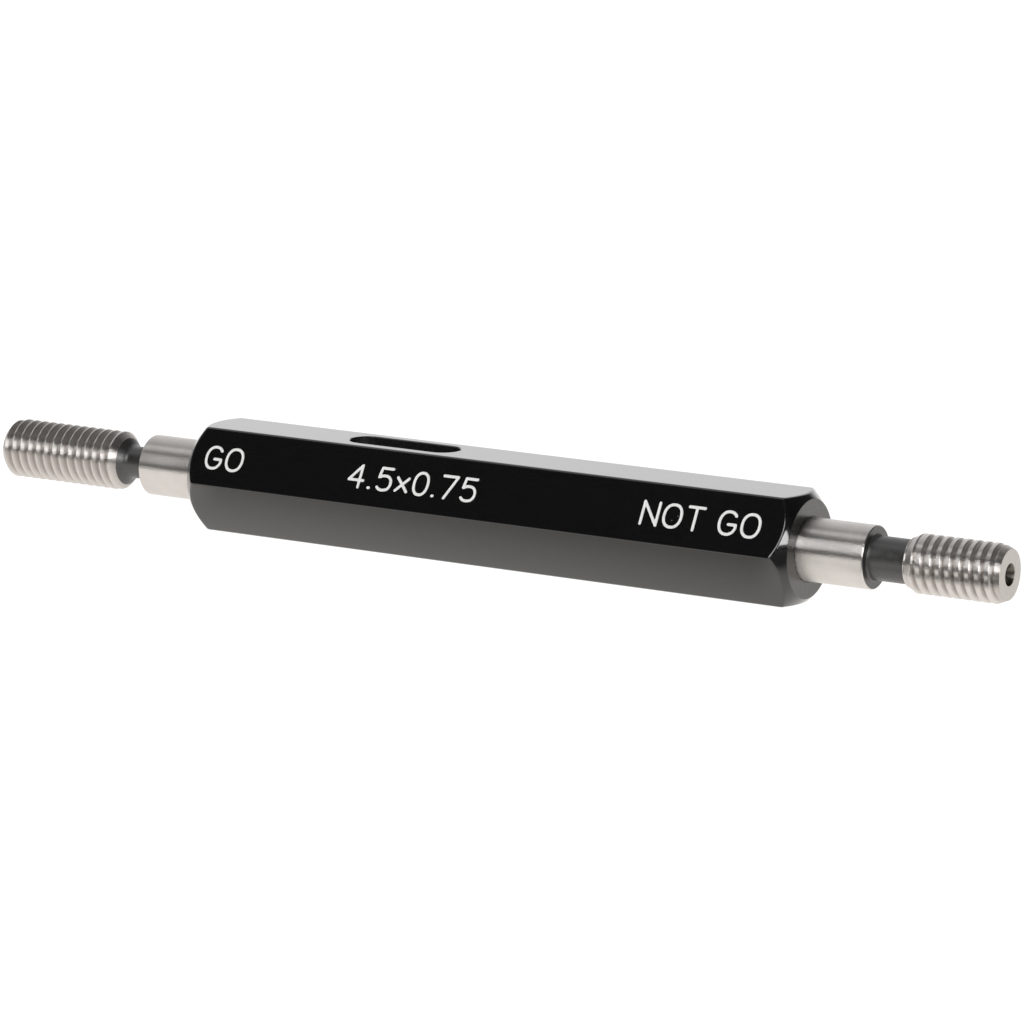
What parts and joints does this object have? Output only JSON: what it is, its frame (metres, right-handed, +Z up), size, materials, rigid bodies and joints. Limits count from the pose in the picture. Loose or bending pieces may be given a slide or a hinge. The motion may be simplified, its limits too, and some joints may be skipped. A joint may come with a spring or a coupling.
{
  "type": "thread plug gauge",
  "caption": "Thread plug gauge: a black hexagonal handle with a GO threaded steel member at one end and a shorter NOT GO member at the other.",
  "frame": {"origin": "under the middle of the overall length, on the surface that the gauge rests on, below the gauge axis", "axes": "+X along the gauge axis towards the NOT GO member, +Z up from the resting flat of the hexagonal handle"},
  "size_m": [0.0848, 0.009, 0.0079],
  "materials": {
    "handle_black": "smooth semi-gloss black oxide",
    "gauge_steel": "ground and lapped"
  },
  "bodies": {
    "root": {"handle": "handle_black", "go_member": "gauge_steel", "not_go_member": "gauge_steel"}
  },
  "joints": []
}
